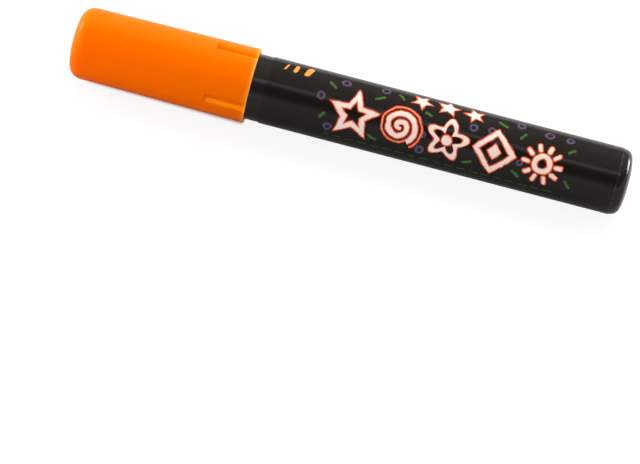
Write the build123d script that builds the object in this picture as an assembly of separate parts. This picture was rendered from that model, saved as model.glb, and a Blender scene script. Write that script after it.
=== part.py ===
from build123d import *
import os
from math import acos, cos, degrees, radians, sin, sqrt, tan

# A liquid chalk marker lying on its side, in millimetres.
# The axis runs along X with the cap at -X and the tail at +X, and one groove of the cap faces down,
# so that the marker rests on that groove's two edges and doesn't roll.
# The origin is on the surface that it lies on, under the middle of its length.
# Angles round the axis are counted in degrees from +Z towards -Y.

# Whole marker
overall_length = 140.0
press_gap = 0.02
running_gap = 0.06
cut_overrun = 1.0

# Barrel
barrel_diameter = 16.36
barrel_wall = 1.2
barrel_end_wall = 1.6
barrel_mouth_rounding = 0.3
barrel_inner_rounding = 1.2
tail_flat_diameter = 5.0
tail_crown_radius = 14.0
tail_edge_rounding = 2.3

# Label
label_front_gap = 3.7
label_tail_gap = 3.0
label_thickness = 0.14
label_lap_length = 2.2
label_lap_gap = 0.03
label_lap_angle = 225.0

# Cap
cap_length = 45.2
cap_grip_length = 10.5
cap_fit_gap = 0.08
cap_wall = 1.05
cap_end_wall = 1.6
cap_draft_angle = 0.51
cap_flat_diameter = 3.0
cap_crown_radius = 20.0
cap_edge_rounding = 3.4
cap_rim_rounding = 0.25
cap_bore_relief = 0.6
cap_groove_count = 4
cap_groove_first_angle = 180.0
cap_groove_length = 10.3
cap_groove_width = 2.9
cap_groove_depth = 0.8
cap_groove_rounding = 0.5
cap_rib_count = 6
cap_rib_width = 1.0
cap_rib_length = 13.0

# Inner seal of the cap
seal_side_gap = 0.8
seal_wall = 0.9
seal_base = 1.2
seal_relief = 0.2
seal_lip_length = 2.4
seal_lip_lead = 0.4
seal_overlap = 3.4

# Nib holder
holder_reach = 15.5
holder_flange = 1.4
holder_flange_inset = 0.25
holder_flange_rounding = 0.3
holder_neck_step = 0.95
holder_neck_length = 1.1
holder_shoulder_length = 2.6
holder_land_length = 5.4
holder_nose_wall = 0.84
holder_nose_rounding = 0.5
holder_spigot_length = 10.0
holder_spigot_wall = 2.0
holder_spigot_lead = 0.6
nib_bore_length = 13.5
nib_rib_count = 6
nib_rib_width = 0.9
nib_rib_height = 0.5

# Felt nib
nib_diameter = 6.0
nib_protrusion = 7.0
nib_length = 23.5
nib_edge_thickness = 2.4
nib_chisel_length = 5.0
nib_slant_angle = 22.0
nib_rounding = 0.3

# Valve body and its washer
valve_plate_setback = 5.0
valve_plate = 1.6
valve_port_gap = 0.4
valve_wall = 0.7
valve_flange = 1.2
valve_flange_gap = 0.6
cage_wall = 1.0
cage_length = 12.4
cage_window_count = 4
cage_window_width = 2.8
cage_window_length = 6.0
cage_window_lead = 2.0
washer_thickness = 1.0
washer_bore_gap = 0.5

# Valve stem and spring retainer
seat_gap = 0.04
stem_rod_diameter = 2.6
stem_head = 1.5
stem_head_rim = 0.5
stem_head_lead = 0.4
stem_tail_diameter = 2.2
stem_tail_reach = 1.4
stem_end_rounding = 0.4
retainer_thickness = 1.5
retainer_inset = 0.8
retainer_pilot = 1.2
retainer_pilot_gap = 0.2

# Valve spring
wire_diameter = 0.45
spring_bore_gap = 0.55
spring_turns = 6.5
spring_end_gap = 0.05

# Mixing balls
ball_diameter = 5.0
ball_gap = 0.15

# Radii that follow from the sizes above
barrel_radius = barrel_diameter / 2
reservoir_radius = barrel_radius - barrel_wall
label_inner_radius = barrel_radius + press_gap
label_outer_radius = label_inner_radius + label_thickness
cap_bore_radius = barrel_radius + cap_fit_gap
cap_mouth_radius = cap_bore_radius + cap_wall
cap_draft = tan(radians(cap_draft_angle))
cap_inner_end_radius = cap_mouth_radius - cap_draft * (cap_length - cap_end_wall) - cap_wall
seal_outer_radius = cap_inner_end_radius - seal_side_gap
seal_inner_radius = seal_outer_radius - seal_wall
seal_lip_radius = seal_inner_radius - seal_relief
seal_rounding = cap_edge_rounding - cap_wall
land_radius = seal_lip_radius - running_gap
flange_radius = barrel_radius - holder_flange_inset
neck_radius = flange_radius - holder_neck_step
spigot_radius = reservoir_radius - press_gap
nib_radius = nib_diameter / 2
nib_rib_radius = nib_radius + running_gap
nib_bore_radius = nib_rib_radius + nib_rib_height
nose_radius = nib_bore_radius + holder_nose_wall
chamber_radius = spigot_radius - holder_spigot_wall
valve_plate_radius = chamber_radius - press_gap
valve_bore_radius = valve_plate_radius - valve_wall
valve_flange_radius = reservoir_radius - valve_flange_gap
cage_radius = valve_bore_radius + cage_wall
wire_radius = wire_diameter / 2
stem_rod_radius = stem_rod_diameter / 2
stem_tail_radius = stem_tail_diameter / 2
spring_radius = stem_tail_radius + spring_bore_gap + wire_radius
stem_head_radius = spring_radius + wire_radius + stem_head_rim
ball_radius = ball_diameter / 2

# Stations along the axis that follow from the sizes above
cap_end = -overall_length / 2
cap_mouth = cap_end + cap_length
cap_inner_end = cap_end + cap_end_wall
tail_end = overall_length / 2
reservoir_end = tail_end - barrel_end_wall
barrel_mouth = cap_mouth - cap_grip_length
label_front = cap_mouth + label_front_gap
label_tail = tail_end - label_tail_gap
nose = barrel_mouth - holder_reach
flange_front = barrel_mouth - holder_flange
neck_front = flange_front - holder_neck_length
land_rear = neck_front - holder_shoulder_length
land_front = land_rear - holder_land_length
spigot_end = barrel_mouth + holder_spigot_length
seal_mouth = land_front + seal_overlap
nib_bore_end = nose + nib_bore_length
nib_tip = nose - nib_protrusion
nib_rear = nib_tip + nib_length
valve_plate_front = spigot_end - valve_plate_setback
seat_face = valve_plate_front + valve_plate
head_front = seat_face + washer_thickness + seat_gap
head_rear = head_front + stem_head
cage_front = spigot_end + valve_flange
cage_end = cage_front + cage_length
retainer_rear = cage_end - retainer_inset
retainer_front = retainer_rear - retainer_thickness
stem_end = retainer_rear + stem_tail_reach
ball_station = reservoir_end - ball_radius - ball_gap

# The groove's section, and the lowest points of the cap, at the groove's edges or at its square end
groove_half_width = cap_groove_width / 2
groove_edge_radius = cap_mouth_radius - cap_draft * cap_rim_rounding
groove_edge_height = sqrt(groove_edge_radius**2 - groove_half_width**2)
groove_edge_drop = groove_edge_radius - groove_edge_height
groove_side_share = groove_half_width / (cap_groove_depth - groove_edge_drop)
groove_top_half_width = (cap_groove_depth + cut_overrun) * groove_side_share
groove_end_height = cap_mouth_radius - cap_draft * cap_groove_length
axis_height = max(groove_edge_height, groove_end_height)


def turned(*corners):
    """Turn a closed outline round the axis. A corner is its station, its radius and its rounding."""
    points = [(station, radius) for station, radius, rounding in corners]
    roundings = [rounding for station, radius, rounding in corners]
    outline = FilletPolyline(*points, radius=roundings, close=True)
    return revolve(make_face(outline), Axis.X)


def turned_sharp(*corners):
    """Turn a closed outline with sharp corners round the axis. A corner is its station and its radius."""
    return revolve(make_face(Polyline(*corners, close=True)), Axis.X)


def rod(radius, start, end):
    """A plain round bar on the axis."""
    return turned_sharp((start, 0), (end, 0), (end, radius), (start, radius))


def bar_at_top(start, end, low, high, width):
    """A straight bar along the axis at +Z, between two heights over the axis."""
    return Pos((start + end) / 2, 0, (low + high) / 2) * Box(end - start, width, high - low)


def around(shape, count, first_angle=0.0):
    """Copies of a shape that stands at +Z, spread evenly round the axis."""
    return [Rot(first_angle + 360 * turn / count, 0, 0) * shape for turn in range(count)]


def crowned_end(end, inward, radius, flat_radius, crown_radius, edge_rounding):
    """The outline of a moulded end: a flat foot, a crown arc and an edge arc, each tangent to the next.

    Two arcs that touch from inside have their centres the difference of their radii apart,
    which places the edge arc. inward is 1 where the body lies at greater stations than its end, else -1.
    Returns the foot's rim, the two arcs and the point where the side begins.
    """
    between = crown_radius - edge_rounding
    across = radius - edge_rounding - flat_radius
    along = sqrt(between**2 - across**2)
    side_depth = crown_radius - along
    meet_depth = side_depth - edge_rounding * along / between
    meet_radius = radius - edge_rounding + edge_rounding * across / between
    foot = (end, flat_radius)
    meet = (end + inward * meet_depth, meet_radius)
    side = (end + inward * side_depth, radius)
    crown_arc = TangentArc(foot, meet, tangent=(0, 1))
    edge_arc = TangentArc(side, meet, tangent=(-inward, 0))
    return foot, [crown_arc, edge_arc], side


def barrel_tube():
    """Moulded tube, closed at the tail, that is the reservoir."""
    foot, arcs, side = crowned_end(
        tail_end, -1, barrel_radius, tail_flat_diameter / 2, tail_crown_radius, tail_edge_rounding
    )
    rest = Polyline(side, (barrel_mouth, barrel_radius), (barrel_mouth, 0), (tail_end, 0), foot)
    outside = revolve(make_face(Curve() + arcs + [rest]), Axis.X)
    outside = fillet(outside.edges().group_by(Axis.X)[0], barrel_mouth_rounding)
    inside = turned(
        (barrel_mouth - cut_overrun, 0, 0),
        (reservoir_end, 0, 0),
        (reservoir_end, reservoir_radius, barrel_inner_rounding),
        (barrel_mouth - cut_overrun, reservoir_radius, 0),
    )
    return outside - inside


def on_ring(radius, angle):
    """A point of a ring round the axis, in the cross section's own plane."""
    return (-radius * sin(radians(angle)), radius * cos(radians(angle)))


def ring_arc(radius, start_angle, end_angle):
    """An arc round the axis, in the cross section's own plane."""
    return CenterArc((0, 0), radius, start_angle + 90, end_angle - start_angle)


def label_film():
    """Printed sheet wrapped once round the barrel.

    Its last stretch runs off along the tangent and laps over its start, at the back of the print.
    """
    lap_inner = label_outer_radius + label_lap_gap
    lap_outer = lap_inner + label_thickness
    leave = label_lap_angle + 360
    inner_meet = leave + degrees(acos(label_inner_radius / lap_inner))
    outer_meet = leave + degrees(acos(label_outer_radius / lap_outer))
    start = inner_meet - 360
    lap_end = inner_meet + degrees(label_lap_length / lap_inner)
    section = Curve() + [
        ring_arc(label_inner_radius, start, leave),
        Line(on_ring(label_inner_radius, leave), on_ring(lap_inner, inner_meet)),
        ring_arc(lap_inner, inner_meet, lap_end),
        Line(on_ring(lap_inner, lap_end), on_ring(lap_outer, lap_end)),
        ring_arc(lap_outer, outer_meet, lap_end),
        Line(on_ring(lap_outer, outer_meet), on_ring(label_outer_radius, leave)),
        ring_arc(label_outer_radius, start, leave),
        Line(on_ring(label_outer_radius, start), on_ring(label_inner_radius, start)),
    ]
    return extrude(Plane.YZ.offset(label_front) * make_face(section), label_tail - label_front)


def cap_radius_at(station):
    """Outside radius of the drafted cap."""
    return cap_mouth_radius - cap_draft * (cap_mouth - station)


def cap_groove():
    """Cutter for one groove at +Z along the drafted side, with leaning sides and a square end."""
    section = make_face(Polyline(
        (0, -cap_groove_depth),
        (groove_top_half_width, cut_overrun),
        (-groove_top_half_width, cut_overrun),
        close=True,
    ))
    section = fillet(section.vertices().group_by(Axis.Y)[0], cap_groove_rounding)
    groove_start = cap_mouth - cap_groove_length
    start = (groove_start, 0, cap_radius_at(groove_start))
    across_side = Plane(origin=start, x_dir=(0, 1, 0), z_dir=(1, 0, cap_draft))
    return extrude(across_side * section, cap_groove_length + cut_overrun)


def cap_shell():
    """Moulded cap: crowned end, drafted side, grip bore, ribs for the inner seal, mouth grooves."""
    side_start_radius = cap_radius_at(cap_end + cap_edge_rounding)
    foot, arcs, side = crowned_end(
        cap_end, 1, side_start_radius, cap_flat_diameter / 2, cap_crown_radius, cap_edge_rounding
    )
    rest = Polyline(side, (cap_mouth, cap_mouth_radius), (cap_mouth, 0), (cap_end, 0), foot)
    outside = revolve(make_face(Curve() + arcs + [rest]), Axis.X)
    bore_start = flange_front - cap_bore_relief
    inner_mouth_radius = cap_radius_at(bore_start) - cap_wall - cap_fit_gap
    inside = turned(
        (cap_inner_end, 0, 0),
        (cap_mouth + cut_overrun, 0, 0),
        (cap_mouth + cut_overrun, cap_bore_radius, 0),
        (bore_start, cap_bore_radius, 0),
        (bore_start - cap_bore_relief, inner_mouth_radius, 0),
        (cap_inner_end, cap_inner_end_radius, seal_rounding),
    )
    shell = outside - inside
    shell = fillet(shell.edges().group_by(Axis.X)[-1], cap_rim_rounding)
    rib_start = cap_inner_end + seal_rounding
    rib = bar_at_top(
        rib_start,
        rib_start + cap_rib_length,
        seal_outer_radius + press_gap,
        cap_inner_end_radius + cap_wall / 2,
        cap_rib_width,
    )
    shell += around(rib, cap_rib_count)
    return shell - around(cap_groove(), cap_groove_count, cap_groove_first_angle)


def cap_inner_seal():
    """Soft cup seated in the cap's end, with a thicker lip that rides on the holder's land."""
    outside = turned(
        (cap_inner_end, 0, 0),
        (seal_mouth, 0, 0),
        (seal_mouth, seal_outer_radius, 0),
        (cap_inner_end, seal_outer_radius, seal_rounding),
    )
    lip_start = seal_mouth - seal_lip_length
    inside = turned_sharp(
        (cap_inner_end + seal_base, 0),
        (seal_mouth, 0),
        (seal_mouth, seal_lip_radius + seal_lip_lead),
        (seal_mouth - seal_lip_lead, seal_lip_radius),
        (lip_start, seal_lip_radius),
        (lip_start - seal_relief, seal_inner_radius),
        (cap_inner_end + seal_base, seal_inner_radius),
    )
    return outside - inside


def nib_holder():
    """Front collar with a ribbed nib bore.

    From the front: nose, sealing land, shoulder, neck, flange on the barrel's mouth and spigot in its bore.
    """
    outside = turned(
        (nose, 0, 0),
        (spigot_end, 0, 0),
        (spigot_end, spigot_radius - holder_spigot_lead, 0),
        (spigot_end - holder_spigot_lead, spigot_radius, 0),
        (barrel_mouth, spigot_radius, 0),
        (barrel_mouth, flange_radius, 0),
        (flange_front, flange_radius, holder_flange_rounding),
        (flange_front, neck_radius, 0),
        (neck_front, neck_radius, 0),
        (land_rear, land_radius, 0),
        (land_front, land_radius, holder_nose_rounding),
        (nose, nose_radius, holder_nose_rounding),
    )
    bore = rod(nib_bore_radius, nose - cut_overrun, spigot_end)
    chamber = rod(chamber_radius, nib_bore_end, spigot_end + cut_overrun)
    rib = bar_at_top(
        nose + holder_nose_rounding,
        nib_bore_end,
        nib_rib_radius,
        nib_bore_radius + nib_rib_height,
        nib_rib_width,
    )
    return outside - bore - chamber + around(rib, nib_rib_count)


def felt_nib():
    """Round fibre rod with a chisel tip: two flats that close to a blunt edge, cut off on a slant."""
    rod_body = rod(nib_radius, nib_tip, nib_rear)
    edge = nib_edge_thickness / 2
    flat_start = nib_tip + nib_chisel_length
    wedge = Polyline(
        (nib_tip - cut_overrun, edge),
        (nib_tip, edge),
        (flat_start, nib_radius),
        (flat_start, nib_diameter),
        (nib_tip - cut_overrun, nib_diameter),
        close=True,
    )
    flat_cut = extrude(Plane.XZ * make_face(wedge), nib_diameter, both=True)
    drop = nib_diameter * tan(radians(nib_slant_angle))
    slant = Polyline(
        (nib_tip - cut_overrun, nib_diameter),
        (nib_tip, -nib_radius),
        (nib_tip + drop, nib_radius),
        (nib_tip + drop, nib_diameter),
        close=True,
    )
    slant_cut = extrude(Plane.XY * make_face(slant), nib_diameter, both=True)
    chisel = rod_body - flat_cut - mirror(flat_cut, Plane.XY) - slant_cut
    tip_face = chisel.faces().sort_by(Axis.X)[0]
    return fillet(tip_face.edges(), nib_rounding)


def valve_body():
    """Valve housing: seat plate with a port, flange on the spigot's end, spring cage with windows."""
    outside = turned_sharp(
        (valve_plate_front, 0),
        (cage_end, 0),
        (cage_end, cage_radius),
        (cage_front, cage_radius),
        (cage_front, valve_flange_radius),
        (spigot_end, valve_flange_radius),
        (spigot_end, valve_plate_radius),
        (valve_plate_front, valve_plate_radius),
    )
    port = rod(stem_rod_radius + valve_port_gap, valve_plate_front - cut_overrun, cage_end)
    bore = rod(valve_bore_radius, seat_face, cage_end + cut_overrun)
    window_start = cage_front + cage_window_lead
    window_end = window_start + cage_window_length
    window = bar_at_top(window_start, window_end, 0, cage_radius + cut_overrun, cage_window_width)
    return outside - port - bore - around(window, cage_window_count)


def valve_seat_washer():
    """Soft ring that lies on the seat plate."""
    outer = valve_bore_radius - press_gap
    inner = stem_rod_radius + washer_bore_gap
    face = seat_face + washer_thickness
    return turned_sharp((seat_face, inner), (face, inner), (face, outer), (seat_face, outer))


def valve_stem():
    """Plunger: a rod that meets the nib, a head that closes on the washer, a guided tail."""
    return turned(
        (nib_rear, 0, 0),
        (stem_end, 0, 0),
        (stem_end, stem_tail_radius, stem_end_rounding),
        (head_rear, stem_tail_radius, 0),
        (head_rear, stem_head_radius, stem_head_lead),
        (head_front, stem_head_radius, 0),
        (head_front, stem_rod_radius, 0),
        (nib_rear, stem_rod_radius, 0),
    )


def spring_retainer():
    """Disc pressed into the cage's end, with a pilot in the spring and a guide hole for the stem."""
    outer = valve_bore_radius - press_gap
    hole = stem_tail_radius + running_gap
    pilot = spring_radius - wire_radius - retainer_pilot_gap
    return turned_sharp(
        (retainer_front - retainer_pilot, hole),
        (retainer_rear, hole),
        (retainer_rear, outer),
        (retainer_front, outer),
        (retainer_front, pilot),
        (retainer_front - retainer_pilot, pilot),
    )


def valve_spring():
    """Round wire wound as one helix between the stem's head and the retainer."""
    first = head_rear + spring_end_gap + wire_radius
    last = retainer_front - spring_end_gap - wire_radius
    pitch = (last - first) / spring_turns
    print(f"valve_spring: gap between turns {pitch - wire_diameter:.2f} mm")
    path = Helix(pitch, last - first, spring_radius, center=(first, 0, 0), direction=(1, 0, 0))
    wire_section = Plane(origin=path @ 0, z_dir=path % 0) * Circle(wire_radius)
    return sweep(wire_section, path, is_frenet=True)


def mixing_ball(side):
    """Loose ball low in the reservoir's tail, where it rolls to. side is -1 towards -Y and 1 towards +Y."""
    across = ball_radius + ball_gap / 2
    out = reservoir_radius - ball_radius - ball_gap
    return Pos(ball_station, side * across, -sqrt(out**2 - across**2)) * Sphere(ball_radius)


pieces = {
    "barrel_tube": barrel_tube(),
    "label_film": label_film(),
    "cap_shell": cap_shell(),
    "cap_inner_seal": cap_inner_seal(),
    "nib_holder": nib_holder(),
    "felt_nib": felt_nib(),
    "valve_body": valve_body(),
    "valve_seat_washer": valve_seat_washer(),
    "valve_stem": valve_stem(),
    "spring_retainer": spring_retainer(),
    "valve_spring": valve_spring(),
    "mixing_ball_right": mixing_ball(-1),
    "mixing_ball_left": mixing_ball(1),
}

os.makedirs("parts", exist_ok=True)
for name, piece in pieces.items():
    export_step(Pos(0, 0, axis_height) * piece, f"parts/{name}.step")
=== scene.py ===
import math
import bpy
import numpy as np
from mathutils import Matrix, Vector


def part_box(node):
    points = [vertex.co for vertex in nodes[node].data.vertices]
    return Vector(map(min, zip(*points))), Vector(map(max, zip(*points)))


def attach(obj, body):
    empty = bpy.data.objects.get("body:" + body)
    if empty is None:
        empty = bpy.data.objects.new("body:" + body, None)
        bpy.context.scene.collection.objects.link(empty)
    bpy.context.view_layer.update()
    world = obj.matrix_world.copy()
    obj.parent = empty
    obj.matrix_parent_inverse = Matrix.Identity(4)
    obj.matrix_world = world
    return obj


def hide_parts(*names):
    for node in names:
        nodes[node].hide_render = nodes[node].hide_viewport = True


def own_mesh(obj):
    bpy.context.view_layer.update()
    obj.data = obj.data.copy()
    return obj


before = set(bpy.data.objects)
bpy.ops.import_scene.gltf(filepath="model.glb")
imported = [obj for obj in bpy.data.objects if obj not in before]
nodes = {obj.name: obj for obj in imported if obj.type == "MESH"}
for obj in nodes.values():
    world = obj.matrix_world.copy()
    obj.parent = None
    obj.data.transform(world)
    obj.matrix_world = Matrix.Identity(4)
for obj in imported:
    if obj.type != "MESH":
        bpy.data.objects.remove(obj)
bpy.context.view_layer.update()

# A liquid chalk marker lying on its side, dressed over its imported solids, in metres.
barrel_low, barrel_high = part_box("barrel_tube")
label_low, label_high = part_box("label_film")
cap_low, cap_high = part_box("cap_shell")
axis_height = (barrel_low[2] + barrel_high[2]) / 2

# The print's middle line faces the camera, at this angle from +Z towards -Y.
FACING = math.radians(52.0)
IMAGE_WIDTH = 640
MILLIMETRES = 1000


def srgb(red, green, blue):
    """A linear colour, alpha 1, from screen values of 0 to 255."""
    levels = []
    for level in (red, green, blue):
        share = level / 255
        levels.append(share / 12.92 if share <= 0.04045 else ((share + 0.055) / 1.055) ** 2.4)
    return (*levels, 1.0)


# Node graphs
class Number:
    """One number in a material's node graph, with the usual arithmetic."""

    def __init__(self, graph, socket):
        self.graph = graph
        self.socket = socket

    def __add__(self, other):
        return self.graph.math("ADD", self, other)

    def __sub__(self, other):
        return self.graph.math("SUBTRACT", self, other)

    def __rsub__(self, other):
        return self.graph.math("SUBTRACT", other, self)

    def __mul__(self, other):
        return self.graph.math("MULTIPLY", self, other)


class Graph:
    """A new material whose shader is fed by nodes that read Object coordinates in millimetres."""

    def __init__(self, name):
        self.material = bpy.data.materials.new(name)
        self.material.use_nodes = True
        self.tree = self.material.node_tree
        self.shader = self.tree.nodes["Principled BSDF"]
        coordinates = self.add("ShaderNodeTexCoord").outputs["Object"]
        self.place = self.vector("MULTIPLY", coordinates, (MILLIMETRES, MILLIMETRES, MILLIMETRES))
        split = self.add("ShaderNodeSeparateXYZ")
        self.wire(self.place, split.inputs[0])
        self.x, self.y, height = (Number(self, split.outputs[i]) for i in range(3))
        self.z = height - axis_height * MILLIMETRES

    def add(self, kind, **settings):
        node = self.tree.nodes.new(kind)
        for key, value in settings.items():
            setattr(node, key, value)
        return node

    def wire(self, source, target):
        if isinstance(source, Number):
            source = source.socket
        if isinstance(source, bpy.types.NodeSocket):
            self.tree.links.new(source, target)
        else:
            target.default_value = source

    def math(self, operation, *values):
        node = self.add("ShaderNodeMath", operation=operation)
        for value, target in zip(values, node.inputs):
            self.wire(value, target)
        return Number(self, node.outputs[0])

    def vector(self, operation, *values):
        node = self.add("ShaderNodeVectorMath", operation=operation)
        for value, target in zip(values, node.inputs):
            self.wire(value, target)
        return node.outputs[0]

    def join(self, x, y, z):
        node = self.add("ShaderNodeCombineXYZ")
        for value, target in zip((x, y, z), node.inputs):
            self.wire(value, target)
        return node.outputs[0]

    def noise(self, scale, detail=2.0, roughness=0.5, place=None, stretch=None):
        """Smooth noise about 0.5, with scale lumps to a millimetre, drawn out where stretch is under 1."""
        place = self.place if place is None else place
        if stretch is not None:
            place = self.vector("MULTIPLY", place, stretch)
        node = self.add("ShaderNodeTexNoise")
        self.wire(place, node.inputs["Vector"])
        node.inputs["Scale"].default_value = scale
        node.inputs["Detail"].default_value = detail
        node.inputs["Roughness"].default_value = roughness
        return Number(self, node.outputs["Fac"])

    def ramp(self, value, low, high, start=0.0, end=1.0, smooth=True):
        """start below low, end above high, and an even change between."""
        node = self.add("ShaderNodeMapRange", interpolation_type="SMOOTHSTEP" if smooth else "LINEAR")
        for source, target in zip((value, low, high, start, end), node.inputs):
            self.wire(source, target)
        return Number(self, node.outputs["Result"])

    def mix(self, share, first, second):
        node = self.add("ShaderNodeMix", data_type="RGBA")
        self.wire(share, node.inputs["Factor"])
        self.wire(first, node.inputs[6])
        self.wire(second, node.inputs[7])
        return node.outputs[2]

    def bump(self, height, depth, normal=None):
        """Surface relief, where a height of 1 stands depth millimetres up."""
        node = self.add("ShaderNodeBump")
        node.inputs["Strength"].default_value = 1.0
        node.inputs["Distance"].default_value = depth / MILLIMETRES
        self.wire(height, node.inputs["Height"])
        if normal is not None:
            self.wire(normal, node.inputs["Normal"])
        return node.outputs["Normal"]

    def set(self, **inputs):
        for key, value in inputs.items():
            self.wire(value, self.shader.inputs[key.replace("_", " ")])


def dress(material, *names):
    """Gives CAD nodes a material."""
    for name in names:
        mesh = nodes[name].data
        mesh.materials.clear()
        mesh.materials.append(material)


# Barrel: black moulded plastic, satin, with a fine moulded grain and faint scuffs along it
def barrel_plastic(name, roughness):
    graph = Graph(name)
    cloud = graph.noise(0.25, 3)
    grain = graph.noise(9.0, 2)
    scuffs = graph.noise(2.2, 4, 0.65, stretch=(0.06, 1, 1))
    dark = graph.mix(cloud, srgb(16, 12, 11), srgb(22, 17, 16))
    graph.set(Base_Color=dark)
    graph.set(Roughness=graph.ramp(scuffs, 0.35, 0.72, roughness - 0.05, roughness + 0.1))
    graph.set(Specular_IOR_Level=0.28, IOR=1.5)
    fine = graph.bump(grain, 0.0003)
    graph.set(Normal=graph.bump(scuffs, 0.001, normal=fine))
    return graph.material


# Label: black printed film with a chalk-drawn pattern
def label_print():
    graph = Graph("label_print")
    math_of = graph.math
    radius = (label_high[2] - label_low[2]) / 2 * MILLIMETRES
    towards = graph.y * -math.sin(FACING) + graph.z * math.cos(FACING)
    across = graph.y * -math.cos(FACING) - graph.z * math.sin(FACING)
    clean_v = math_of("ARCTAN2", across, towards) * radius
    clean_u = graph.x

    # A drawn line wavers a little, and its edge is broken by the grain of the chalk.
    sheet = graph.join(clean_u, clean_v, 0.0)
    waver_u = graph.noise(0.35, 2, place=sheet) - 0.5
    waver_v = graph.noise(0.35, 2, place=graph.vector("ADD", sheet, (31.0, 17.0, 5.0))) - 0.5
    edge = graph.noise(3.5, 3, 0.6, place=sheet) - 0.5
    waver = 0.9
    u = clean_u + waver_u * waver
    v = clean_v + waver_v * waver
    ragged = edge * 0.34

    def inside(distance, soft=0.07):
        """1 inside a shape whose signed distance in millimetres is given, 0 outside."""
        return graph.ramp(distance + ragged, -soft, soft, 1.0, 0.0)

    def length(a, b):
        return math_of("SQRT", a * a + b * b)

    def beyond(value, middle, half):
        """How far a number lies past the ends of a stretch."""
        return math_of("MAXIMUM", math_of("ABSOLUTE", value - middle) - half, 0.0)

    def polar(centre_u, centre_v):
        """Distance and angle from a point of the sheet."""
        from_u = u - centre_u
        from_v = v - centre_v
        return length(from_u, from_v), math_of("ARCTAN2", from_v, from_u)

    def fold(angle, count, turned=0.0):
        """The angle from the nearest of some spokes."""
        step = 2 * math.pi / count
        return math_of("FLOORED_MODULO", angle + (turned + step / 2), step) - step / 2

    def star(centre_u, centre_v, tip, waist, turned):
        """A five-pointed star: the distance from the nearest side's line."""
        reach, angle = polar(centre_u, centre_v)
        from_spoke = fold(angle, 5, turned)
        near_u = reach * math_of("COSINE", from_spoke)
        near_v = math_of("ABSOLUTE", reach * math_of("SINE", from_spoke))
        side = Vector((waist * math.cos(math.pi / 5) - tip, waist * math.sin(math.pi / 5))).normalized()
        return (near_u - tip) * side.y - near_v * side.x

    def sun(centre_u, centre_v):
        """A ring with ten rays."""
        reach, angle = polar(centre_u, centre_v)
        from_spoke = fold(angle, 10)
        along = reach * math_of("COSINE", from_spoke)
        ray = length(beyond(along, 4.1, 0.6), reach * math_of("SINE", from_spoke))
        return math_of("MINIMUM", math_of("ABSOLUTE", reach - 1.9), ray + 0.12)

    def flower(centre_u, centre_v, size, petals, turned):
        """A ring that swells into petals, round a dot."""
        reach, angle = polar(centre_u, centre_v)
        petal = math_of("COSINE", angle * petals + turned) * (size * 0.26) + size * 0.8
        outline = math_of("ABSOLUTE", reach - petal) * 0.85
        return math_of("MINIMUM", outline, math_of("MAXIMUM", reach - size * 0.13, 0.0))

    def spiral(centre_u, centre_v, turns, pitch, turned):
        """A line whose distance from a point grows evenly with its angle, for some whole turns."""
        reach, angle = polar(centre_u, centre_v)
        wound = reach - fold(angle, 1, turned) * (pitch / (2 * math.pi))
        off = math_of("ABSOLUTE", math_of("FLOORED_MODULO", wound, pitch) - pitch / 2)
        return math_of("MAXIMUM", off, wound - turns * pitch)

    def diamond(centre_u, centre_v, width, height):
        """A diamond inside another."""
        reach = math_of("ABSOLUTE", u - centre_u) * (height / width) + math_of("ABSOLUTE", v - centre_v)
        scale = 1 / math.hypot(height / width, 1)
        outline = math_of("ABSOLUTE", reach - height) * scale
        return math_of("MINIMUM", outline, math_of("MAXIMUM", reach - 0.9, 0.0) * scale)

    def nearest(*distances):
        found = distances[0]
        for distance in distances[1:]:
            found = math_of("MINIMUM", found, distance)
        return found

    # Bold row: star, spiral, flower, diamond and sun, drawn as white lines with an orange edge
    bold = nearest(
        math_of("ABSOLUTE", star(1.2, 0.6, 5.0, 2.35, 0.3)),
        spiral(12.7, 0.5, 2, 2.1, 2.2),
        flower(24.6, 0.7, 4.4, 5, 1.0),
        diamond(36.4, 0.6, 4.6, 5.0),
        sun(48.4, 0.6),
    )

    # Small row above: three filled stars
    small = nearest(
        star(16.6, -7.8, 2.3, 1.05, 1.1),
        star(23.2, -8.1, 2.6, 1.2, 0.2),
        star(29.8, -7.8, 2.3, 1.05, 0.7),
    )

    # Sprinkled short strokes and rings round both rows
    def sprinkle(centre_u, centre_v, lean, half):
        """A short stroke with round ends."""
        along = (u - centre_u) * math.cos(lean) + (v - centre_v) * math.sin(lean)
        aside = (v - centre_v) * math.cos(lean) - (u - centre_u) * math.sin(lean)
        return length(beyond(along, 0.0, half), aside) - 0.34

    sprinkles = nearest(*(sprinkle(*at) for at in (
        (-5.4, -5.6, 0.6, 0.9), (6.6, -5.4, -0.5, 1.1), (11.4, -7.6, 0.9, 0.8), (37.0, -7.2, 0.5, 1.1),
        (54.8, -4.2, -0.7, 0.9), (-6.4, 2.6, -0.9, 0.8), (6.8, 5.0, 0.4, 0.9), (30.6, 5.0, -0.4, 0.9),
        (42.6, 4.8, 0.5, 0.9), (55.4, 4.2, 0.8, 0.9), (42.4, -5.0, -1.0, 0.8), (18.8, -4.4, 0.3, 0.7),
    )))
    loops = nearest(*(math_of("ABSOLUTE", polar(*at)[0] - size) for *at, size in (
        (-2.4, -7.4, 0.9), (-7.6, -2.2, 0.8), (7.4, -8.4, 0.9), (34.8, -4.4, 0.7),
        (41.4, -8.4, 0.9), (48.6, -7.6, 1.0), (18.6, 5.0, 0.8), (30.2, -4.0, 0.7),
        (53.6, -7.4, 0.8), (-4.4, 5.2, 0.8), (43.0, 1.6, 0.6), (18.6, 1.0, 0.6),
    ))) - 0.27

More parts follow.
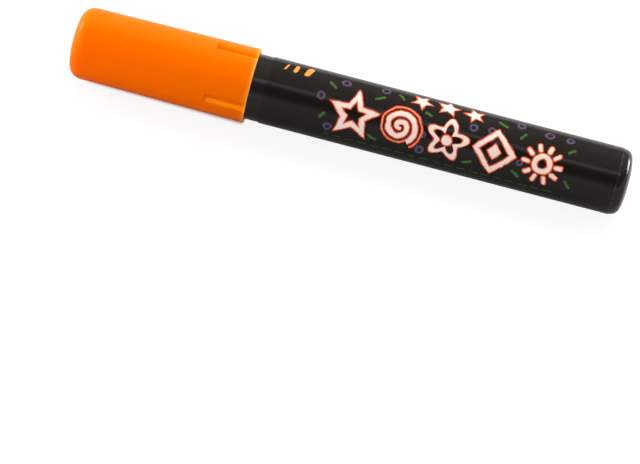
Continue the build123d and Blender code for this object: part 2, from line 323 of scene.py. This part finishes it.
    # Dashed line below, and three strokes of growing width near the cap
    dash_u = math_of("ABSOLUTE", math_of("FLOORED_MODULO", u, 3.1) - 1.55) - 1.05
    dash_v = math_of("ABSOLUTE", v - 7.6) - 0.2
    dash = math_of("MAXIMUM", math_of("MAXIMUM", dash_u, dash_v), beyond(u, 24.0, 29.0))
    lean_u = u + v * 0.25
    strokes = nearest(*(
        length(lean_u - middle, beyond(v, -7.9, 0.95)) - half
        for middle, half in ((-19.4, 0.22), (-17.0, 0.45), (-13.8, 0.8))
    ))

    white = srgb(215, 197, 189)
    orange = srgb(206, 74, 20)
    amber = srgb(214, 128, 44)
    green = srgb(46, 82, 32)
    purple = srgb(70, 55, 82)
    pits = graph.ramp(graph.noise(5.5, 4, 0.7, place=sheet), 0.58, 0.72)
    film = graph.mix(graph.noise(0.2, 3), srgb(9, 6, 4), srgb(14, 10, 8))
    colour = graph.mix(inside(sprinkles), film, green)
    colour = graph.mix(inside(loops), colour, purple)
    colour = graph.mix(inside(bold - 0.84), colour, orange)
    colour = graph.mix(inside(bold - 0.55), colour, white)
    colour = graph.mix(inside(small - 0.28), colour, orange)
    colour = graph.mix(inside(small + 0.05), colour, white)
    colour = graph.mix(inside(dash, 0.05), colour, srgb(44, 76, 36))
    colour = graph.mix(inside(strokes), colour, amber)
    colour = graph.mix(pits * 0.4, colour, film)

    # The film's cut end at the tail shows a little paler, in a broken line: partly the film's own pale cut
    # edge, partly a painted reflection of the light that this edge catches.
    film_end = label_high[0] * MILLIMETRES
    cut_edge_and_glint = graph.ramp(graph.x, film_end - 0.3, film_end - 0.12)
    cut_edge_and_glint = cut_edge_and_glint * graph.ramp(graph.noise(0.5, 3, place=sheet), 0.42, 0.62, 0.12, 0.6)
    colour = graph.mix(cut_edge_and_glint, colour, srgb(74, 69, 67))

    ripple = graph.noise(0.16, 2, place=sheet)
    peel = graph.noise(1.6, 2, place=sheet)
    graph.set(Base_Color=colour, Roughness=graph.ramp(peel, 0.3, 0.7, 0.2, 0.26))
    graph.set(Specular_IOR_Level=0.25, IOR=1.5)
    wavy = graph.bump(ripple, 0.05)
    graph.set(Normal=graph.bump(peel, 0.006, normal=wavy))
    return graph.material


# Cap: orange moulded plastic, a little redder towards its closed end, with a pale line along the mouth's
# edge painted in as a highlight
def cap_plastic():
    graph = Graph("cap_plastic")
    mouth = cap_high[0] * MILLIMETRES
    bore_radius = 8.27
    groove_length = 9.6
    along = graph.ramp(graph.x, cap_low[0] * MILLIMETRES, mouth, smooth=False)
    flow = graph.noise(0.12, 3, stretch=(0.35, 1, 1))
    grain = graph.noise(7.0, 2)
    body = graph.mix(along, srgb(230, 92, 0), srgb(213, 95, 0))
    body = graph.mix(graph.ramp(flow, 0.3, 0.7, 0.0, 0.35), body, srgb(223, 91, 0))
    to_mouth = mouth - graph.x + (flow - 0.5) * 0.2
    # Painted highlight: a pale line along the mouth's edge, standing in for light caught by its rounded
    # rim.
    mouth_highlight = graph.ramp(to_mouth, 0.3, 1.4, 0.18, 0.0) + graph.ramp(to_mouth, 0.2, 0.45, 0.42, 0.0)
    body = graph.mix(mouth_highlight, body, srgb(242, 168, 64))

    # Each groove has one wall painted paler as a highlight, where light would fall on it: the lower at the
    # sides, the rear one's edge above and below.
    def lit_groove_wall(across, rise, fall, outward, share):
        """A share of painted highlight on one wall of two grooves, from how far a point lies across and
        out from the axis.
        """
        wall = graph.ramp(across, *rise) * graph.ramp(across, *fall, 1.0, 0.0)
        return wall * graph.ramp(graph.math("ABSOLUTE", outward), bore_radius, 8.4, 0.0, share)

    groove_highlight = lit_groove_wall(0.0 - graph.z, (0.1, 0.4), (1.0, 1.4), graph.y, 0.72)
    groove_highlight = groove_highlight + lit_groove_wall(graph.y, (0.6, 1.2), (1.3, 1.6), graph.z, 0.45)
    groove_highlight = groove_highlight * graph.ramp(to_mouth, groove_length, 10.2, 1.0, 0.0)
    body = graph.mix(groove_highlight, body, srgb(240, 136, 10))
    graph.set(Base_Color=body, Roughness=graph.ramp(flow, 0.3, 0.7, 0.28, 0.36))
    graph.set(Specular_IOR_Level=0.035, Specular_Tint=(1.0, 0.55, 0.1, 1.0), IOR=1.5)
    graph.set(Normal=graph.bump(grain, 0.003))
    return graph.material


# Natural plastic of the seal and the valve, milky and faintly mottled
def natural_plastic(name, pale, deep, roughness):
    graph = Graph(name)
    mottle = graph.noise(0.5, 3)
    grain = graph.noise(8.0, 2)
    graph.set(Base_Color=graph.mix(mottle, pale, deep))
    graph.set(Roughness=graph.ramp(mottle, 0.3, 0.7, roughness, roughness + 0.1))
    graph.set(Subsurface_Weight=0.15, Subsurface_Scale=0.001, Specular_IOR_Level=0.4)
    graph.set(Normal=graph.bump(grain, 0.004))
    return graph.material


# Pressed fibre nib, soaked with colour, its fibres lying along the axis
def nib_felt():
    graph = Graph("nib_felt")
    fibres = graph.noise(6.0, 4, 0.65, stretch=(0.12, 1, 1))
    fuzz = graph.noise(14.0, 3, 0.7)
    soaked_to = -58.0
    dry_from = -46.0
    soak = graph.ramp(graph.x + graph.noise(0.9, 2) * 2.0, soaked_to, dry_from)
    wet = graph.mix(fibres, srgb(206, 74, 6), srgb(244, 124, 22))
    dry = graph.mix(fibres, srgb(232, 138, 62), srgb(250, 190, 128))
    graph.set(Base_Color=graph.mix(soak, wet, dry), Roughness=graph.ramp(fuzz, 0.3, 0.7, 0.85, 1.0))
    graph.set(Sheen_Weight=0.3, Sheen_Roughness=0.5, Specular_IOR_Level=0.2)
    graph.set(Normal=graph.bump(fuzz, 0.03, normal=graph.bump(fibres, 0.09)))
    return graph.material


# Soft black rubber, dull and dusty
def washer_rubber():
    graph = Graph("washer_rubber")
    dust = graph.noise(1.4, 4, 0.6)
    graph.set(Base_Color=graph.mix(graph.ramp(dust, 0.4, 0.75), srgb(38, 38, 38), srgb(64, 63, 61)))
    graph.set(Roughness=graph.ramp(dust, 0.3, 0.7, 0.6, 0.8), Specular_IOR_Level=0.3)
    graph.set(Normal=graph.bump(graph.noise(10.0, 2), 0.01))
    return graph.material


# Steel of the spring wire and the balls
def steel(name, tint, roughness, scale, stretch):
    graph = Graph(name)
    lines = graph.noise(scale, 3, 0.6, stretch=stretch)
    graph.set(Base_Color=graph.mix(lines, tint, srgb(176, 178, 182)), Metallic=1.0)
    graph.set(Roughness=graph.ramp(lines, 0.3, 0.7, roughness, roughness + 0.12))
    graph.set(Normal=graph.bump(lines, 0.002))
    return graph.material


# Valve spring
def spring_coil():
    """Round wire wound as a compression spring, closed at both ends.

    Along the wire the angle grows evenly, and the station grows by a wire's width to a turn in the closed
    end turns and by a wider step between them, changing smoothly. Round the wire each point stands a wire
    radius off that line, square to it, and the radius falls to nothing over a round end."""
    wire_radius = 0.000225
    turns = 8.5
    closed_turns = 1.0
    easing = 0.3
    end_rows = 6
    wire_rows = 400
    round_rows = 16
    low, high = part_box("valve_spring")
    winding_radius = (high[2] - low[2]) / 2 - wire_radius
    first = low[0] + wire_radius
    rise = high[0] - low[0] - 2 * wire_radius
    wire_length = math.tau * winding_radius * turns

    bend = np.linspace(0, math.pi / 2, end_rows, endpoint=False)[1:]
    start = wire_radius * (1 - np.cos(bend)) / wire_length
    middle = np.linspace(wire_radius / wire_length, 1 - wire_radius / wire_length, wire_rows)
    share = np.concatenate([start, middle, 1 - start[::-1]])
    turn = share * turns
    from_end = np.minimum(turn, turns - turn)
    opened = np.clip((from_end - closed_turns) / easing, 0, 1)
    opened = opened * opened * (3 - 2 * opened)
    step = np.diff(turn)
    open_turns = np.concatenate([[0], np.cumsum((opened[1:] + opened[:-1]) / 2 * step)])
    closed_pitch = 2 * wire_radius
    wider = (rise - closed_pitch * turns) / open_turns[-1]
    station = first + closed_pitch * turn + wider * open_turns
    slope = (closed_pitch + wider * opened) / (math.tau * winding_radius)
    angle = turn * math.tau

    from_tip = np.minimum(share, 1 - share) * wire_length
    inset = np.clip(1 - from_tip / wire_radius, 0, 1)
    radius = wire_radius * np.sqrt(1 - inset**2)
    outward = np.stack([np.zeros_like(angle), np.cos(angle), np.sin(angle)], axis=1)
    onward = np.stack([np.zeros_like(angle), -np.sin(angle), np.cos(angle)], axis=1)
    axis = np.array([1.0, 0.0, 0.0])
    sideways = (axis - slope[:, None] * onward) / np.sqrt(1 + slope**2)[:, None]
    line = station[:, None] * axis + winding_radius * outward + np.array([0.0, 0.0, axis_height])
    around_wire = np.arange(round_rows) * math.tau / round_rows
    ring = np.cos(around_wire)[None, :, None] * outward[:, None, :]
    ring = ring + np.sin(around_wire)[None, :, None] * sideways[:, None, :]
    points = (line[:, None, :] + radius[:, None, None] * ring).reshape(-1, 3)
    last_angle = math.tau * turns
    last_outward = np.array([0.0, math.cos(last_angle), math.sin(last_angle)])
    tips = np.stack([
        first * axis + winding_radius * np.array([0.0, 1.0, 0.0]),
        (first + rise) * axis + winding_radius * last_outward,
    ]) + np.array([0.0, 0.0, axis_height])

    rows = len(share)
    place = np.arange(rows * round_rows).reshape(rows, round_rows)
    beside = np.roll(place, -1, axis=1)
    walls = np.stack([place[:-1], place[1:], beside[1:], beside[:-1]], axis=-1).reshape(-1, 4)
    front_tip = np.full(round_rows, rows * round_rows)
    front = np.stack([front_tip, place[0], beside[0]], axis=-1)
    back = np.stack([front_tip + 1, beside[-1], place[-1]], axis=-1)
    mesh = bpy.data.meshes.new("spring_coil")
    faces = walls.tolist() + front.tolist() + back.tolist()
    mesh.from_pydata(np.concatenate([points, tips]).tolist(), [], faces)
    mesh.shade_smooth()
    coil = bpy.data.objects.new("spring_coil", mesh)
    bpy.context.scene.collection.objects.link(coil)
    return coil


dress(barrel_plastic("barrel_plastic", 0.17), "barrel_tube")
dress(barrel_plastic("holder_plastic", 0.26), "nib_holder")
dress(label_print(), "label_film")
dress(cap_plastic(), "cap_shell")
dress(natural_plastic("seal_plastic", srgb(236, 235, 229), srgb(222, 221, 212), 0.42), "cap_inner_seal")
dress(
    natural_plastic("valve_plastic", srgb(232, 231, 226), srgb(214, 213, 205), 0.34),
    "valve_body", "valve_stem", "spring_retainer",
)
dress(nib_felt(), "felt_nib")
dress(washer_rubber(), "valve_seat_washer")
spring_steel = steel("spring_steel", srgb(206, 207, 210), 0.2, 12.0, (1, 1, 1))
dress(spring_steel, "valve_spring")
ball_steel = steel("ball_steel", srgb(216, 217, 220), 0.06, 1.5, (1, 0.2, 1))
dress(ball_steel, "mixing_ball_right", "mixing_ball_left")

# A wound wire coil stands in for the valve spring, carried with the barrel.
coil = spring_coil()
coil.data.materials.append(spring_steel)
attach(coil, "barrel")
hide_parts("valve_spring")
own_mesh(coil)


# Camera
def aim_camera():
    """Long lens that faces the print's middle line, rolled so that the marker runs down to the right."""
    sensor = 36
    pixels_per_metre = 4090.0
    distance = 1.0
    tail_nearer = math.radians(1.8)
    roll = math.radians(14.63)
    offset = Vector((30.4, 120.3))
    side = Vector((0, -math.sin(FACING), math.cos(FACING)))
    towards = Vector((math.sin(tail_nearer), 0, 0)) + side * math.cos(tail_nearer)
    along = Vector((math.cos(tail_nearer), 0, 0)) - side * math.sin(tail_nearer)
    top = towards.cross(along)
    right = along * math.cos(roll) + top * math.sin(roll)
    up = top * math.cos(roll) - along * math.sin(roll)
    focal = pixels_per_metre * distance
    facing = Matrix((right, up, towards)).transposed()
    sight = Vector((offset.x / focal, offset.y / focal, -1)).normalized()
    turn = sight.rotation_difference(Vector((0, 0, -1))).to_matrix()
    camera = bpy.data.objects.new("camera", bpy.data.cameras.new("camera"))
    bpy.context.scene.collection.objects.link(camera)
    camera.data.sensor_width = sensor
    camera.data.lens = focal * sensor / IMAGE_WIDTH
    camera.data.clip_start = 0.01
    camera.data.clip_end = 50
    centre = Vector((0, 0, axis_height))
    camera.matrix_world = Matrix.Translation(centre + towards * distance) @ (facing @ turn).to_4x4()
    bpy.context.scene.camera = camera


aim_camera()


# Floor and light
def lay_floor():
    """White sheet that keeps a soft shadow, paler to the eye than in the light that it throws back."""
    half = 4
    thrown_back = 0.34
    seen_pale = 0.95
    contact_reach = 0.0011
    mirror_share = 0.15
    mesh = bpy.data.meshes.new("floor")
    corners = [(-half, -half, 0), (half, -half, 0), (half, half, 0), (-half, half, 0)]
    mesh.from_pydata(corners, [], [(0, 1, 2, 3)])
    floor = bpy.data.objects.new("floor", mesh)
    bpy.context.scene.collection.objects.link(floor)
    material = bpy.data.materials.new("floor_sheet")
    material.use_nodes = True
    tree = material.node_tree
    tree.nodes.clear()
    output = tree.nodes.new("ShaderNodeOutputMaterial")
    paper = tree.nodes.new("ShaderNodeBsdfDiffuse")
    paper.inputs["Color"].default_value = (thrown_back, thrown_back, thrown_back, 1)
    shaded = tree.nodes.new("ShaderNodeBsdfDiffuse")
    shaded.inputs["Color"].default_value = (seen_pale, seen_pale, seen_pale, 1)
    glow = tree.nodes.new("ShaderNodeEmission")
    glow.inputs["Strength"].default_value = 1.0
    seen = tree.nodes.new("ShaderNodeMixShader")
    open_air = tree.nodes.new("ShaderNodeAmbientOcclusion")
    open_air.inputs["Distance"].default_value = contact_reach
    lit = tree.nodes.new("ShaderNodeMapRange")
    for value, target in zip((0.1, 0.8, 0.0, 0.9), lit.inputs[1:5]):
        target.default_value = value
    tree.links.new(open_air.outputs["AO"], lit.inputs["Value"])
    tree.links.new(lit.outputs["Result"], seen.inputs[0])
    tree.links.new(shaded.outputs[0], seen.inputs[1])
    tree.links.new(glow.outputs[0], seen.inputs[2])
    path = tree.nodes.new("ShaderNodeLightPath")
    mirrored = tree.nodes.new("ShaderNodeMath")
    mirrored.operation = "MAXIMUM"
    tree.links.new(path.outputs["Is Glossy Ray"], mirrored.inputs[0])
    tree.links.new(path.outputs["Is Transmission Ray"], mirrored.inputs[1])
    share = tree.nodes.new("ShaderNodeMath")
    share.operation = "MULTIPLY_ADD"
    share.use_clamp = True
    share.inputs[1].default_value = mirror_share
    tree.links.new(mirrored.outputs[0], share.inputs[0])
    tree.links.new(path.outputs["Is Camera Ray"], share.inputs[2])
    choice = tree.nodes.new("ShaderNodeMixShader")
    tree.links.new(share.outputs[0], choice.inputs[0])
    tree.links.new(paper.outputs[0], choice.inputs[1])
    tree.links.new(seen.outputs[0], choice.inputs[2])
    tree.links.new(choice.outputs[0], output.inputs["Surface"])
    mesh.materials.append(material)


def around(angle):
    """Direction square to the marker's axis, at an angle in degrees from +Z towards -Y."""
    return Vector((0, -math.sin(math.radians(angle)), math.cos(math.radians(angle))))


def area_light(name, towards, along, distance, length, width, radiance, mirrored=True, tint=(1, 1, 1)):
    """Rectangle of light that faces the marker from a direction, its length lying along another."""
    towards = Vector(towards).normalized()
    across = towards.cross(Vector(along)).normalized()
    along = across.cross(towards)
    data = bpy.data.lights.new(name, "AREA")
    data.shape = "RECTANGLE"
    data.color = tint
    data.size = length
    data.size_y = width
    data.energy = radiance * math.pi * length * width
    light = bpy.data.objects.new(name, data)
    bpy.context.scene.collection.objects.link(light)
    turned = Matrix((along, across, towards)).transposed().to_4x4()
    light.matrix_world = Matrix.Translation(towards * distance) @ turned
    light.visible_camera = False
    light.visible_glossy = mirrored


def light_room():
    """Room with a pale horizon, a dim ceiling, a soft box, a key, two fills, a strip and two end lamps.

    Each light's numbers are its distance, length, width and radiance."""
    world = bpy.data.worlds.new("room")
    bpy.context.scene.world = world
    world.use_nodes = True
    tree = world.node_tree
    tree.nodes.clear()
    output = tree.nodes.new("ShaderNodeOutputWorld")
    room = tree.nodes.new("ShaderNodeBackground")
    direction = tree.nodes.new("ShaderNodeTexCoord")
    split = tree.nodes.new("ShaderNodeSeparateXYZ")
    tree.links.new(direction.outputs["Generated"], split.inputs[0])
    fade = tree.nodes.new("ShaderNodeMapRange")
    fade.interpolation_type = "SMOOTHSTEP"
    for value, target in zip((0.12, 0.45, 0.0, 1.0), fade.inputs[1:5]):
        target.default_value = value
    tree.links.new(split.outputs["Z"], fade.inputs["Value"])
    tint = tree.nodes.new("ShaderNodeMix")
    tint.data_type = "RGBA"
    tint.inputs[6].default_value = (1.0, 1.0, 1.0, 1.0)
    tint.inputs[7].default_value = (0.25, 0.21, 0.19, 1.0)
    tree.links.new(fade.outputs["Result"], tint.inputs["Factor"])
    tree.links.new(tint.outputs[2], room.inputs["Color"])
    tree.links.new(room.outputs[0], output.inputs["Surface"])
    along = (1, 0, 0)
    level = (0, 1, 0)
    area_light("soft_box", around(-22), along, 0.7, 1.8, 1.05, 0.62, tint=(1.0, 0.92, 0.86))
    area_light("key", around(-36), along, 0.9, 1.4, 0.8, 4.55, mirrored=False)
    area_light("fill", around(80), along, 0.8, 1.4, 0.3, 3.4, mirrored=False)
    area_light("end_fill", (-0.97, 0.08, 0.22), level, 0.8, 0.6, 0.4, 7.0, mirrored=False)
    area_light("strip", around(26), along, 0.9, 0.6, 0.12, 2.8)
    area_light("left_lamp", (-0.91, 0.36, 0.19), level, 0.8, 0.25, 0.18, 40.0)
    area_light("right_lamp", (0.84, 0.52, 0.2), level, 0.8, 0.36, 0.26, 17.0)


lay_floor()
light_room()
bpy.context.scene.view_settings.view_transform = "Standard"
